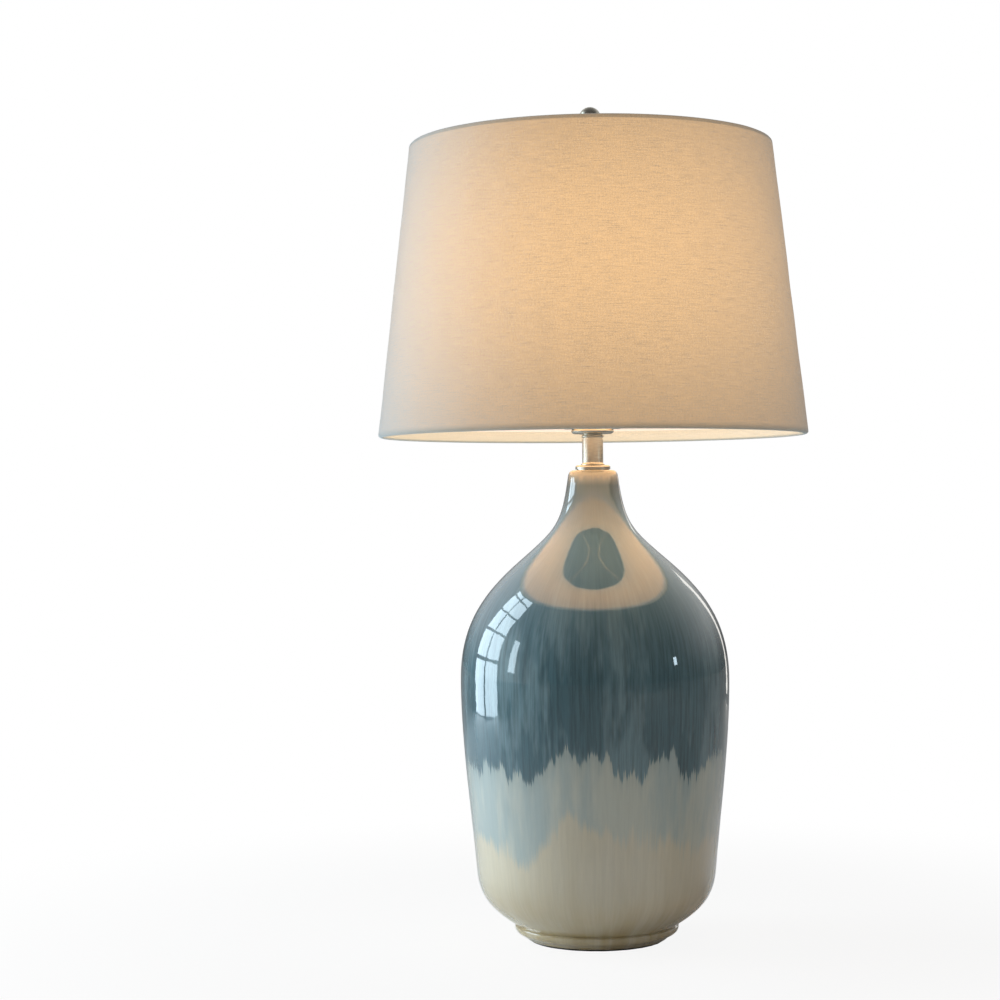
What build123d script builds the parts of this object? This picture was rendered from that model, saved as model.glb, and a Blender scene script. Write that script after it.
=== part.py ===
"""Table lamp with a drum shade, in millimetres, +Z up.

The origin is the centre of the underside of the felt pad, on the table.  The front is -Y.
A hollow glazed ceramic body stands on a felt pad and is clamped on a threaded pipe.  The
pipe carries the metal neck, the harp saddle and the lamp socket.  The harp holds the shade
by its spider washer, under the finial.
"""

import os
from math import cos, hypot, radians, sin, sqrt

from build123d import *

# Fits between pieces
PIPE_FIT = 0.15        # radial room of a plain hole on the threaded pipe
TURN_FIT = 0.10        # radial room of a piece that turns in another
SLIP_FIT = 0.15        # radial room of nested tubes and sleeves
PLY_FIT = 0.10         # room between the glued layers of the shade
TIGHT_FIT = 0.02       # radial room of the knob pressed on its stem
END_ROOM = 0.1         # room at the end of a blind hole or a screw
EDGE = 1.0             # small bevel of turned pieces
CUT = 10.0             # how far a cutter runs past what it cuts
PULL = 0.42            # how long a smooth curve keeps its end directions, as a share of its chord

# Ceramic body
FELT_THICKNESS = 2.0
FELT_INSET = 2.0       # felt edge to foot edge
FOOT_RADIUS = 77.5
FOOT_SEAT_RADIUS = 66.5
FOOT_SIDE = 11.0       # height of the tapered side of the foot
FOOT_LEAN = 42.0       # how far that side leans out where it starts, in degrees from upright
FOOT_TOP_EDGE = 2.0    # height of the rounded top edge of the foot
FOOT_TOP_LEAN = -50.0
GROOVE_DEPTH = 1.8     # groove between the foot and the belly
BELLY_LEAN = 57.0      # directions of the outline, in degrees from upright
WALL_LEAN = 5.0
SHOULDER_LEAN = -48.6
NECK_LEAN = -7.5
WALL_PULL = 0.33
SHOULDER_PULL = 0.39
NECK_PULL = 0.5
CORNER_HEIGHT = 51.0   # from the groove to the straight of the wall
CORNER_RADIUS = 113.0
WALL_HEIGHT = 180.0
BODY_RADIUS = 127.1    # the widest place, at the shoulder
SHOULDER_HEIGHT = 109.0
SHOULDER_RADIUS = 74.0  # where the shoulder turns into the neck
NECK_HEIGHT = 83.0
NECK_RADIUS = 23.8
LIP_HEIGHT = 6.0
LIP_ROUND = 5.8
LIP_OPENING = 13.5
BODY_WALL = 7.0
FLOOR_THICKNESS = 8.0
FLOOR_CORNER = 4.0     # floor edge to the inside of the foot
FLOOR_HOLE_ROOM = 0.6  # extra room of the fired hole on the pipe
RECESS_DEPTH = 15.0
RECESS_RADIUS = 52.0
NOTCH_WIDTH = 9.0      # cord outlet at the back of the foot
NOTCH_HEIGHT = 8.0

# Threaded pipe and the clamping pieces under the floor
PIPE_RADIUS = 4.8
PIPE_BORE = 3.2
PIPE_BELOW_NUT = 2.0
PIPE_IN_CAP = 9.0
HEX_FLATS = 14.3
HEX_BEVEL = 0.6        # the bevelled corners start this far outside the flats
BOTTOM_NUT_HEIGHT = 4.8
LOCK_WASHER_RADIUS = 9.0
LOCK_WASHER_THICKNESS = 1.2
LOCK_WASHER_TEETH = 10
LOCK_TOOTH_LENGTH = 1.6
LOCK_TOOTH_GAP = 1.3
BOTTOM_WASHER_RADIUS = 19.0
BOTTOM_WASHER_THICKNESS = 2.0
BUSHING_FLANGE_RADIUS = 6.4
BUSHING_FLANGE = 1.5
BUSHING_PLUG = 7.0
BUSHING_BORE = 2.2

# Metal neck
VASE_CAP_RADIUS = 16.6
VASE_CAP_HEIGHT = 4.6
VASE_CAP_BOSS = 4.0
VASE_CAP_ROUND = 1.8
VASE_CAP_STEP = 1.2    # undercut that leaves a shadow line above the lip
VASE_CAP_STEP_HEIGHT = 0.9
NECK_TUBE_RADIUS = 9.9
NECK_TUBE_WALL = 1.2
NECK_TUBE_HEIGHT = 25.4
TUBE_FOOT_RADIUS = 11.2
TUBE_FOOT_HEIGHT = 3.0
TUBE_FOOT_EDGE = 1.0
COLLAR_RADIUS = 10.6
COLLAR_HEIGHT = 4.3
COLLAR_GROOVE = 1.4
COLLAR_LEDGE = 0.9     # height of a groove beside the bead
NECK_DISC_RADIUS = 20.2
NECK_DISC_HEIGHT = 4.7
NECK_DISC_EDGE = 2.2
NECK_DISC_HUB = 11.8
NECK_DISC_ROUND = 1.2
NECK_DISC_HUB_LEAN = 84.0
NECK_DISC_RIM_LEAN = 18.0

# Harp saddle, harp and locking sleeves
SADDLE_SPAN = 57.0     # between the middles of the two upright arms
SADDLE_SHEET = 1.8
SADDLE_WIDTH = 14.0
SADDLE_BEND = 3.0
SADDLE_SHOULDER = 13.0  # height where an arm narrows to its tongue
TONGUE_WIDTH = 5.4
TONGUE_LENGTH = 11.0
SADDLE_NUT_HEIGHT = 3.2
HARP_HEIGHT = 254.0    # saddle face to the shade seat
HARP_HALF_WIDTH = 57.0
HARP_WIRE = 1.6
HARP_STRAIGHT = 46.0   # straight of a leg above the saddle shoulder
HARP_FLARE = 66.0
HARP_TOP_HALF = 35.3   # half width where the bow turns level
HARP_TOP_DROP = 44.0
HARP_TOP_BEND = 33.0
HARP_FLARE_BEND = 60.0
LEG_END_RADIUS = 2.9
LEG_END_LENGTH = 10.0
LEG_END_RISE = 4.0     # leg end above the saddle shoulder
LEG_SLOT_ROOM = 0.1
LEG_SLOT_DEPTH = 7.0
SLEEVE_RADIUS = 4.1
SLEEVE_LENGTH = 18.0
SLEEVE_NECK_RADIUS = 2.7
SLEEVE_NECK_LENGTH = 3.0
SLEEVE_TAPER = 1.5     # height of the cone inside the sleeve
EYE_RADIUS = 7.0
EYE_THICKNESS = 3.4
STUD_SHANK = 2.5
STUD_HEAD_RADIUS = 4.4
STUD_HEAD_HEIGHT = 2.2
STUD_SEAT_RADIUS = 9.5
STUD_SEAT_HEIGHT = 2.0
STUD_THREAD_RADIUS = 3.1
STUD_THREAD_LENGTH = 13.0

# Lamp socket and switch
CAP_RADIUS = 16.6
CAP_PULL = 0.5
CAP_WALL = 1.0
CAP_HUB_RADIUS = 8.5
CAP_HUB_HEIGHT = 5.0
CAP_HUB_WALL = 1.2
CAP_HUB_THREAD = 8.0
CAP_BELL_HEIGHT = 9.0
CAP_RIM_HEIGHT = 7.0
SET_SCREW_RADIUS = 1.5
SET_SCREW_HEAD = 2.2
SET_SCREW_HEAD_HEIGHT = 1.6
SCREW_SLOT_WIDTH = 0.65
SCREW_SLOT_DEPTH = 0.6
SHELL_WALL = 0.6
SHELL_HEIGHT = 46.0
SHELL_SEAT = 0.8       # bottom of the shell above the bell of the cap
SHELL_BEAD = 0.8
SHELL_BEAD_HEIGHT = 3.0
SHELL_BEAD_PLACE = 33.0
SHELL_RIM_HEIGHT = 2.0
INSULATOR_WALL = 0.5
INSULATOR_SHORT = 0.75  # the fibre sleeve stops this far inside each end of the shell
INTERIOR_HEIGHT = 21.0
INTERIOR_FLAT = 11.2
TERMINAL_SCREW_RADIUS = 2.6
TERMINAL_SCREW_HEAD = 1.8
TERMINAL_SHANK = 1.2
TERMINAL_LENGTH = 3.8
TERMINAL_PLACE = 6.0
SCREW_SHELL_WALL = 0.5
SCREW_SHELL_HEIGHT = 23.0
SCREW_SHELL_GAP = 2.5  # between the contact and the flange of the shell
CONTACT_RADIUS = 3.4
CONTACT_HEIGHT = 3.5
STEM_RADIUS = 2.0
STEM_PLACE = 11.5      # height of the switch stem above the bottom of the socket shell
STEM_IN_BODY = 6.0
STEM_END_ROOM = 0.3
STEM_SLOT_ROOM = 1.2
STEM_IN_KNOB = 8.4
KNOB_RADIUS = 5.2
KNOB_LENGTH = 14.0
KNOB_GAP = 5.0
KNOB_BEVEL = 0.9
KNOB_FLUTES = 12
KNOB_FLUTE_RADIUS = 1.0
KNOB_FLUTE_DEPTH = 0.45
KNOB_COLLAR = 3.0      # plain length next to the socket

# Bulb
BULB_BASE_RADIUS = 12.95
BULB_BASE_HEIGHT = 20.0
BULB_BASE_WALL = 0.5
BULB_TIP_RADIUS = 4.4
BULB_TIP_HEIGHT = 2.0
BULB_GLASS_HEIGHT = 3.6
BULB_GLASS_STEP = 0.6  # glass outside the tip
BULB_BASE_CONE = 1.2   # the base narrows by this under its thread
BULB_BASE_CONE_HEIGHT = 2.2
BULB_BASE_LIP = 1.8    # base rolled in over the glass
BULB_SKIRT = 0.6       # housing outside the base
BULB_SKIRT_HEIGHT = 3.0
BULB_SKIRT_LEAN = 20.0
BULB_HOUSING_LEAN = 6.0
BULB_DOME_LEAN = 4.0
BULB_HOUSING_FLOOR = 5.0
BULB_HOUSING_SEAT = 1.0  # housing inside the wall of the base
BULB_HOUSING_HEIGHT = 33.0
BULB_RADIUS = 30.0
BULB_SHOULDER = 29.4   # where the housing meets the dome
BULB_DOME_HEIGHT = 46.5
BULB_WALL = 1.4

# Shade
SHADE_HEIGHT = 275.0
SHADE_TOP_RADIUS = 171.5
SHADE_BOTTOM_RADIUS = 203.2
LINEN = 0.8
LINER = 0.6
RING_WIRE = 1.25
HEM_TAIL = 7.0
SPIDER_DROP = 11.6     # washer face to the top of the shade
SPIDER_WIRE = 1.75
SPIDER_ARMS = 3
SPIDER_BEND = 14.0
SPIDER_RISE = 13.0     # run of the bent-up end of an arm
WASHER_RADIUS = 12.5
WASHER_HOLE = 5.4
WASHER_THICKNESS = 1.6
SPIDER_LAP = 2.0       # an arm runs this far on to the washer

# Finial
FINIAL_BALL = 10.6
FINIAL_HEIGHT = 48.1
FINIAL_BASE_RADIUS = 8.2
FINIAL_BASE_HEIGHT = 3.4
FINIAL_BASE_BULGE = 0.7
FINIAL_WAIST = 4.6
FINIAL_WAIST_RISE = 1.5
FINIAL_BEAD = 6.2
FINIAL_BEAD_HEIGHT = 4.0
FINIAL_NECK = 3.6
FINIAL_NECK_HEIGHT = 0.6
FINIAL_NECK_FLARE = 0.9
FINIAL_BORE_DEPTH = 14.5

# Heights that follow from the sizes above, from the table up
FOOT_Z = FELT_THICKNESS
FOOT_TOP_Z = FOOT_Z + FOOT_SIDE
GROOVE_Z = FOOT_TOP_Z + FOOT_TOP_EDGE
CORNER_Z = GROOVE_Z + CORNER_HEIGHT
SHOULDER_Z = CORNER_Z + WALL_HEIGHT
TURN_Z = SHOULDER_Z + SHOULDER_HEIGHT
LIP_Z = TURN_Z + NECK_HEIGHT
BODY_Z = LIP_Z + LIP_HEIGHT
FLOOR_Z = FOOT_Z + RECESS_DEPTH
NUT_Z = FLOOR_Z - BOTTOM_WASHER_THICKNESS - LOCK_WASHER_THICKNESS - BOTTOM_NUT_HEIGHT
PIPE_Z = NUT_Z - PIPE_BELOW_NUT
TUBE_Z = BODY_Z + VASE_CAP_HEIGHT
COLLAR_Z = TUBE_Z + NECK_TUBE_HEIGHT
DISC_Z = COLLAR_Z + COLLAR_HEIGHT
SADDLE_Z = DISC_Z + NECK_DISC_HEIGHT
SADDLE_NUT_Z = SADDLE_Z + SADDLE_SHEET
CAP_Z = SADDLE_NUT_Z + SADDLE_NUT_HEIGHT
SHELL_Z = CAP_Z + CAP_HUB_HEIGHT + CAP_BELL_HEIGHT + SHELL_SEAT
INTERIOR_Z = SHELL_Z
SCREW_SHELL_Z = INTERIOR_Z + INTERIOR_HEIGHT
STEM_Z = SHELL_Z + STEM_PLACE
BULB_Z = SCREW_SHELL_Z + CONTACT_HEIGHT
HOUSING_Z = BULB_Z + BULB_TIP_HEIGHT + BULB_GLASS_HEIGHT + BULB_BASE_HEIGHT
DOME_Z = HOUSING_Z + BULB_HOUSING_HEIGHT
SLEEVE_Z = SADDLE_Z + SADDLE_SHOULDER
TONGUE_Z = SLEEVE_Z + TONGUE_LENGTH
WASHER_Z = SADDLE_NUT_Z + HARP_HEIGHT
EYE_Z = WASHER_Z - STUD_SEAT_HEIGHT - TURN_FIT - EYE_THICKNESS
FINIAL_Z = WASHER_Z + WASHER_THICKNESS
SHADE_TOP_Z = FINIAL_Z + SPIDER_DROP
SHADE_Z = SHADE_TOP_Z - SHADE_HEIGHT

# Radii that follow
PIPE_HOLE = PIPE_RADIUS + PIPE_FIT
FLOOR_HOLE = PIPE_HOLE + FLOOR_HOLE_ROOM
SHELL_RADIUS = CAP_RADIUS - CAP_WALL - SLIP_FIT
INSULATOR_RADIUS = SHELL_RADIUS - SHELL_WALL - SLIP_FIT
INTERIOR_RADIUS = INSULATOR_RADIUS - INSULATOR_WALL - SLIP_FIT
SCREW_SHELL_INNER = BULB_BASE_RADIUS + TURN_FIT + SLIP_FIT
SCREW_SHELL_RADIUS = SCREW_SHELL_INNER + SCREW_SHELL_WALL
SLOT_WIDTH = 2 * STEM_RADIUS + STEM_SLOT_ROOM
ARM_X = SADDLE_SPAN / 2

# Layers of the shade, along the slant and inward from its face
SLANT = hypot(SHADE_TOP_RADIUS - SHADE_BOTTOM_RADIUS, SHADE_HEIGHT)
PLY_BACK = LINEN + LINER + 2 * PLY_FIT
HEM_ROLL = LINEN + PLY_FIT + RING_WIRE
HEM_UP = 2 * HEM_ROLL
HEM_IN = PLY_BACK + 2 * RING_WIRE + PLY_FIT + LINEN

# Where a cylinder, a cone or a box has its origin
STANDING = (Align.CENTER, Align.CENTER, Align.MIN)
HANGING = (Align.CENTER, Align.CENTER, Align.MAX)


def face_of(*edges):
    """Face inside a closed run of edges, drawn as (radius, height)."""
    return make_face(Curve() + list(edges))


def outline(*points):
    """Face inside straight edges, drawn as (radius, height)."""
    return make_face(Polyline(*points, close=True))


def turned(section):
    """Turn a half section, drawn as (radius, height), about the lamp axis."""
    return revolve(Rot(90, 0, 0) * section, Axis.Z)


def ring(inner, outer, z, height):
    """Flat washer or plain tube."""
    return turned(outline((inner, z), (outer, z), (outer, z + height), (inner, z + height)))


def hex_nut(flats, hole, z, height):
    """Hexagon nut with chamfered corners."""
    nut = extrude(RegularPolygon(flats / 2, 6, major_radius=False), height)
    bevel = flats / 2 + HEX_BEVEL
    nut = nut & Cone(bevel + height, bevel, height, align=STANDING)
    return Pos(0, 0, z) * (nut - extrude(Circle(hole), height))


def eased(start, heading, end, arrival, pull=PULL):
    """Smooth curve between two points, leaving and arriving along the given headings."""
    reach = pull * hypot(end[0] - start[0], end[1] - start[1])
    first = (start[0] + reach * heading[0], start[1] + reach * heading[1])
    last = (end[0] - reach * arrival[0], end[1] - reach * arrival[1])
    return Bezier(start, first, last, end)


def heading(angle):
    """Direction of a climbing profile: 0 is straight up, negative leans to the axis."""
    return (sin(radians(angle)), cos(radians(angle)))


UPRIGHT = heading(0)
OUTWARD = heading(90)
INWARD = heading(-90)
DOWNWARD = heading(180)


def body_side(inset, start):
    """Side of the ceramic body from the foot groove up to the neck, inset by a wall."""
    belly = (CORNER_RADIUS - inset, CORNER_Z)
    wide = (BODY_RADIUS - inset, SHOULDER_Z)
    turn = (SHOULDER_RADIUS - inset, TURN_Z)
    top = (NECK_RADIUS - inset, LIP_Z)
    return [
        eased(start, heading(BELLY_LEAN), belly, heading(WALL_LEAN)),
        eased(belly, heading(WALL_LEAN), wide, UPRIGHT, WALL_PULL),
        eased(wide, UPRIGHT, turn, heading(SHOULDER_LEAN), SHOULDER_PULL),
        eased(turn, heading(SHOULDER_LEAN), top, heading(NECK_LEAN), NECK_PULL),
    ]


def ceramic_body():
    """Hollow glazed body with a foot ring, a holed floor and a cord notch at the back."""
    groove = (FOOT_RADIUS - GROOVE_DEPTH, GROOVE_Z)
    lip = (NECK_RADIUS - LIP_ROUND, BODY_Z)
    floor_top = FLOOR_Z + FLOOR_THICKNESS
    inner_start = (FOOT_RADIUS - BODY_WALL - FLOOR_CORNER, floor_top)
    section = face_of(
        Polyline(
            (FLOOR_HOLE, floor_top),
            (FLOOR_HOLE, FLOOR_Z),
            (RECESS_RADIUS, FLOOR_Z),
            (RECESS_RADIUS, FOOT_Z),
            (FOOT_SEAT_RADIUS, FOOT_Z),
        ),
        eased((FOOT_SEAT_RADIUS, FOOT_Z), heading(FOOT_LEAN), (FOOT_RADIUS, FOOT_TOP_Z), UPRIGHT),
        eased((FOOT_RADIUS, FOOT_TOP_Z), UPRIGHT, groove, heading(FOOT_TOP_LEAN)),
        *body_side(0, groove),
        eased((NECK_RADIUS, LIP_Z), heading(NECK_LEAN), lip, INWARD),
        Polyline(
            lip,
            (LIP_OPENING, BODY_Z),
            (LIP_OPENING, LIP_Z),
            (NECK_RADIUS - BODY_WALL, LIP_Z),
        ),
        *body_side(BODY_WALL, inner_start),
        Line(inner_start, (FLOOR_HOLE, floor_top)),
    )
    arch = NOTCH_WIDTH / 2
    notch = Rectangle(NOTCH_WIDTH, NOTCH_HEIGHT - arch, align=(Align.CENTER, Align.MIN))
    notch += Pos(0, NOTCH_HEIGHT - arch) * Circle(arch)
    notch = extrude(notch, FOOT_RADIUS - RECESS_RADIUS + 2 * CUT)
    return turned(section) - Pos(0, FOOT_RADIUS + CUT, FOOT_Z) * Rot(90, 0, 0) * notch


def felt_pad():
    """Felt disc glued under the foot."""
    return ring(0, FOOT_SEAT_RADIUS - FELT_INSET, 0, FELT_THICKNESS)


def bottom_pieces():
    """Washer, toothed lock washer, nut and bushing that clamp the pipe under the floor."""
    washer_z = FLOOR_Z - BOTTOM_WASHER_THICKNESS
    lock_z = washer_z - LOCK_WASHER_THICKNESS
    lock = ring(PIPE_HOLE, LOCK_WASHER_RADIUS, lock_z, LOCK_WASHER_THICKNESS)
    gap = Pos(PIPE_HOLE, 0, lock_z) * extrude(
        Rectangle(2 * LOCK_TOOTH_LENGTH, LOCK_TOOTH_GAP), LOCK_WASHER_THICKNESS
    )
    for place in range(LOCK_WASHER_TEETH):
        lock -= Rot(0, 0, 360 / LOCK_WASHER_TEETH * place) * gap
    bushing = turned(
        outline(
            (BUSHING_BORE, PIPE_Z - BUSHING_FLANGE),
            (BUSHING_FLANGE_RADIUS, PIPE_Z - BUSHING_FLANGE),
            (BUSHING_FLANGE_RADIUS, PIPE_Z),
            (PIPE_BORE - TURN_FIT, PIPE_Z),
            (PIPE_BORE - TURN_FIT, PIPE_Z + BUSHING_PLUG),
            (BUSHING_BORE, PIPE_Z + BUSHING_PLUG),
        )
    )
    return {
        "bottom_washer": ring(PIPE_HOLE, BOTTOM_WASHER_RADIUS, washer_z, BOTTOM_WASHER_THICKNESS),
        "bottom_lock_washer": lock,
        "bottom_hex_nut": hex_nut(HEX_FLATS, PIPE_HOLE, NUT_Z, BOTTOM_NUT_HEIGHT),
        "pipe_end_bushing": bushing,
        "threaded_pipe": ring(PIPE_BORE, PIPE_RADIUS, PIPE_Z, CAP_Z + PIPE_IN_CAP - PIPE_Z),
    }


def vase_cap():
    """Turned cap on the lip, with a boss that centres it in the neck opening."""
    boss = LIP_OPENING - SLIP_FIT
    boss_z = BODY_Z - VASE_CAP_BOSS
    step = VASE_CAP_RADIUS - VASE_CAP_STEP
    step_z = BODY_Z + VASE_CAP_STEP_HEIGHT
    round_z = TUBE_Z - VASE_CAP_ROUND
    flat = VASE_CAP_RADIUS - VASE_CAP_ROUND
    return turned(
        face_of(
            Polyline(
                (flat, TUBE_Z),
                (PIPE_HOLE, TUBE_Z),
                (PIPE_HOLE, boss_z),
                (boss - EDGE, boss_z),
                (boss, boss_z + EDGE),
                (boss, BODY_Z),
                (step, BODY_Z),
                (step, step_z),
                (VASE_CAP_RADIUS, step_z),
                (VASE_CAP_RADIUS, round_z),
            ),
            RadiusArc((VASE_CAP_RADIUS, round_z), (flat, TUBE_Z), -VASE_CAP_ROUND),
        )
    )


def neck_tube():
    """Spacer tube with a small flared foot."""
    inner = NECK_TUBE_RADIUS - NECK_TUBE_WALL
    foot_z = TUBE_Z + TUBE_FOOT_HEIGHT
    edge_z = TUBE_Z + TUBE_FOOT_EDGE
    return turned(
        face_of(
            eased((TUBE_FOOT_RADIUS, edge_z), INWARD, (NECK_TUBE_RADIUS, foot_z), UPRIGHT),
            Polyline(
                (NECK_TUBE_RADIUS, foot_z),
                (NECK_TUBE_RADIUS, COLLAR_Z),
                (inner, COLLAR_Z),
                (inner, TUBE_Z),
                (TUBE_FOOT_RADIUS, TUBE_Z),
                (TUBE_FOOT_RADIUS, edge_z),
            ),
        )
    )


def neck_collar():
    """Collar with a bead between two grooves."""
    groove = COLLAR_RADIUS - COLLAR_GROOVE
    bead_low = COLLAR_Z + COLLAR_LEDGE
    bead_high = DISC_Z - COLLAR_LEDGE
    bead = (bead_high - bead_low) / 2
    flat = COLLAR_RADIUS - bead
    return turned(
        face_of(
            ThreePointArc((flat, bead_low), (COLLAR_RADIUS, bead_low + bead), (flat, bead_high)),
            Polyline(
                (flat, bead_high),
                (groove, bead_high),
                (groove, DISC_Z),
                (PIPE_HOLE, DISC_Z),
                (PIPE_HOLE, COLLAR_Z),
                (groove, COLLAR_Z),
                (groove, bead_low),
                (flat, bead_low),
            ),
        )
    )


def neck_disc():
    """Check ring under the saddle, dished underneath and with a rounded edge."""
    edge = (NECK_DISC_RADIUS, SADDLE_Z - NECK_DISC_EDGE)
    top = (NECK_DISC_RADIUS - NECK_DISC_ROUND, SADDLE_Z)
    return turned(
        face_of(
            eased(
                (NECK_DISC_HUB, DISC_Z), heading(NECK_DISC_HUB_LEAN),
                edge, heading(NECK_DISC_RIM_LEAN),
            ),
            RadiusArc(edge, top, -NECK_DISC_EDGE),
            Polyline(top, (PIPE_HOLE, SADDLE_Z), (PIPE_HOLE, DISC_Z), (NECK_DISC_HUB, DISC_Z)),
        )
    )


def harp_saddle():
    """Bent steel strip: a holed base and two upright arms that narrow to tongues."""
    half = SADDLE_SHEET / 2
    path = FilletPolyline(
        (-ARM_X, 0, TONGUE_Z - half),
        (-ARM_X, 0, SADDLE_Z + half),
        (ARM_X, 0, SADDLE_Z + half),
        (ARM_X, 0, TONGUE_Z - half),
        radius=SADDLE_BEND,
    )
    side = make_face(offset(path, half, side=Side.BOTH))
    strip = extrude(side, SADDLE_WIDTH / 2, both=True)
    trim = (SADDLE_WIDTH - TONGUE_WIDTH) / 2 + CUT
    for x in (-ARM_X, ARM_X):
        for sign in (-1, 1):
            y = sign * (TONGUE_WIDTH + trim) / 2
            corner = Box(SADDLE_SHEET + CUT, trim, TONGUE_LENGTH + CUT, align=STANDING)
            strip -= Pos(x, y, SLEEVE_Z) * corner
    return strip - Pos(0, 0, SADDLE_Z) * extrude(Circle(PIPE_HOLE), SADDLE_SHEET)


def harp_bow():
    """Wire loop with slotted leg ends on the saddle tongues and an eye at the top."""
    foot_z = SLEEVE_Z + LEG_END_RISE
    flare_z = SLEEVE_Z + HARP_STRAIGHT
    wide_z = flare_z + HARP_FLARE
    top_z = EYE_Z + EYE_THICKNESS / 2
    half = [
        (ARM_X, 0, foot_z + LEG_END_LENGTH),
        (ARM_X, 0, flare_z),
        (HARP_HALF_WIDTH, 0, wide_z),
        (HARP_HALF_WIDTH, 0, top_z - HARP_TOP_DROP),
        (HARP_TOP_HALF, 0, top_z),
    ]
    mirrored = [(-x, y, z) for x, y, z in reversed(half)]
    bends = [HARP_FLARE_BEND, HARP_FLARE_BEND, HARP_TOP_BEND, HARP_TOP_BEND]
    path = FilletPolyline(*half, *mirrored, radius=bends + bends[::-1])
    start = Pos(ARM_X, 0, foot_z + LEG_END_LENGTH)
    bow = sweep(start * Circle(HARP_WIRE), path)
    bow += ring(0, EYE_RADIUS, EYE_Z, EYE_THICKNESS)
    bow -= ring(0, STUD_SHANK + TURN_FIT, EYE_Z - CUT, EYE_THICKNESS + 2 * CUT)
    slot_top = foot_z + LEG_SLOT_DEPTH + LEG_SLOT_ROOM
    slot = Box(
        SADDLE_SHEET + 2 * LEG_SLOT_ROOM, 4 * LEG_END_RADIUS, LEG_SLOT_DEPTH + CUT, align=HANGING
    )
    for x in (-ARM_X, ARM_X):
        bow += Pos(x, 0, 0) * ring(0, LEG_END_RADIUS, foot_z, LEG_END_LENGTH)
        bow -= Pos(x, 0, slot_top) * slot
    return bow


def harp_sleeve(side):
    """Sleeve that drops over a leg end and its tongue, narrowed to the wire at the top."""
    bore = LEG_END_RADIUS + SLIP_FIT
    wire = HARP_WIRE + SLIP_FIT
    neck_z = SLEEVE_Z + SLEEVE_LENGTH - SLEEVE_NECK_LENGTH
    top_z = SLEEVE_Z + SLEEVE_LENGTH
    sleeve = turned(
        outline(
            (bore, SLEEVE_Z),
            (SLEEVE_RADIUS, SLEEVE_Z),
            (SLEEVE_RADIUS, neck_z - EDGE),
            (SLEEVE_NECK_RADIUS, neck_z + EDGE),
            (SLEEVE_NECK_RADIUS, top_z),
            (wire, top_z),
            (wire, neck_z - EDGE + SLEEVE_TAPER),
            (bore, neck_z - EDGE),
        )
    )
    return Pos(side * ARM_X, 0, 0) * sleeve


def harp_stud():
    """Stud riveted in the eye of the harp: it turns with the shade."""
    head_z = EYE_Z - TURN_FIT - STUD_HEAD_HEIGHT
    seat_z = WASHER_Z - STUD_SEAT_HEIGHT
    top_z = FINIAL_Z + STUD_THREAD_LENGTH
    return turned(
        outline(
            (0, head_z),
            (STUD_HEAD_RADIUS - EDGE, head_z),
            (STUD_HEAD_RADIUS, head_z + EDGE),
            (STUD_HEAD_RADIUS, head_z + STUD_HEAD_HEIGHT),
            (STUD_SHANK, head_z + STUD_HEAD_HEIGHT),
            (STUD_SHANK, seat_z),
            (STUD_SEAT_RADIUS, seat_z),
            (STUD_SEAT_RADIUS, WASHER_Z),
            (STUD_THREAD_RADIUS, WASHER_Z),
            (STUD_THREAD_RADIUS, top_z - EDGE),
            (STUD_THREAD_RADIUS - EDGE, top_z),
            (0, top_z),
        )
    )


def socket_cap():
    """Bell-shaped cap with a threaded hub on the pipe and a set screw hole."""
    hub_z = CAP_Z + CAP_HUB_HEIGHT
    bell_z = hub_z + CAP_BELL_HEIGHT
    rim_z = bell_z + CAP_RIM_HEIGHT
    thread_z = CAP_Z + CAP_HUB_THREAD
    inner = CAP_RADIUS - CAP_WALL
    hub_in = CAP_HUB_RADIUS - CAP_HUB_WALL
    floor_z = hub_z + CAP_WALL
    cap = turned(
        face_of(
            eased((CAP_HUB_RADIUS, hub_z), OUTWARD, (CAP_RADIUS, bell_z), UPRIGHT, CAP_PULL),
            Polyline((CAP_RADIUS, bell_z), (CAP_RADIUS, rim_z), (inner, rim_z), (inner, bell_z)),
            eased((inner, bell_z), DOWNWARD, (CAP_HUB_RADIUS, floor_z), INWARD, CAP_PULL),
            Polyline(
                (CAP_HUB_RADIUS, floor_z),
                (hub_in, floor_z),
                (hub_in, thread_z),
                (PIPE_HOLE, thread_z),
                (PIPE_HOLE, CAP_Z),
                (CAP_HUB_RADIUS, CAP_Z),
                (CAP_HUB_RADIUS, hub_z),
            ),
        )
    )
    return cap - set_screw_place() * extrude(Circle(SET_SCREW_RADIUS + TURN_FIT), CUT)


def set_screw_place():
    """Place of the set screw: on the pipe, at the back of the hub, pointing outwards."""
    return Pos(0, PIPE_RADIUS + END_ROOM / 2, CAP_Z + CAP_HUB_HEIGHT / 2) * Rot(-90, 0, 0)


def socket_set_screw():
    """Small screw that keeps the socket cap from turning on the pipe."""
    length = CAP_HUB_RADIUS - PIPE_RADIUS + END_ROOM
    screw = extrude(Circle(SET_SCREW_RADIUS), length)
    screw += Pos(0, 0, length) * extrude(Circle(SET_SCREW_HEAD), SET_SCREW_HEAD_HEIGHT)
    slot = Box(2 * SET_SCREW_HEAD, SCREW_SLOT_WIDTH, 2 * SCREW_SLOT_DEPTH)
    return set_screw_place() * (screw - Pos(0, 0, length + SET_SCREW_HEAD_HEIGHT) * slot)


def stem_slot():
    """Cutter from the bottom edge of the socket tubes up over the switch stem, at the front."""
    slot = Box(SLOT_WIDTH, CUT, STEM_PLACE + CUT, align=HANGING)
    slot += Rot(90, 0, 0) * Cylinder(SLOT_WIDTH / 2, CUT)
    return Pos(0, -SHELL_RADIUS, STEM_Z) * slot


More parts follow.
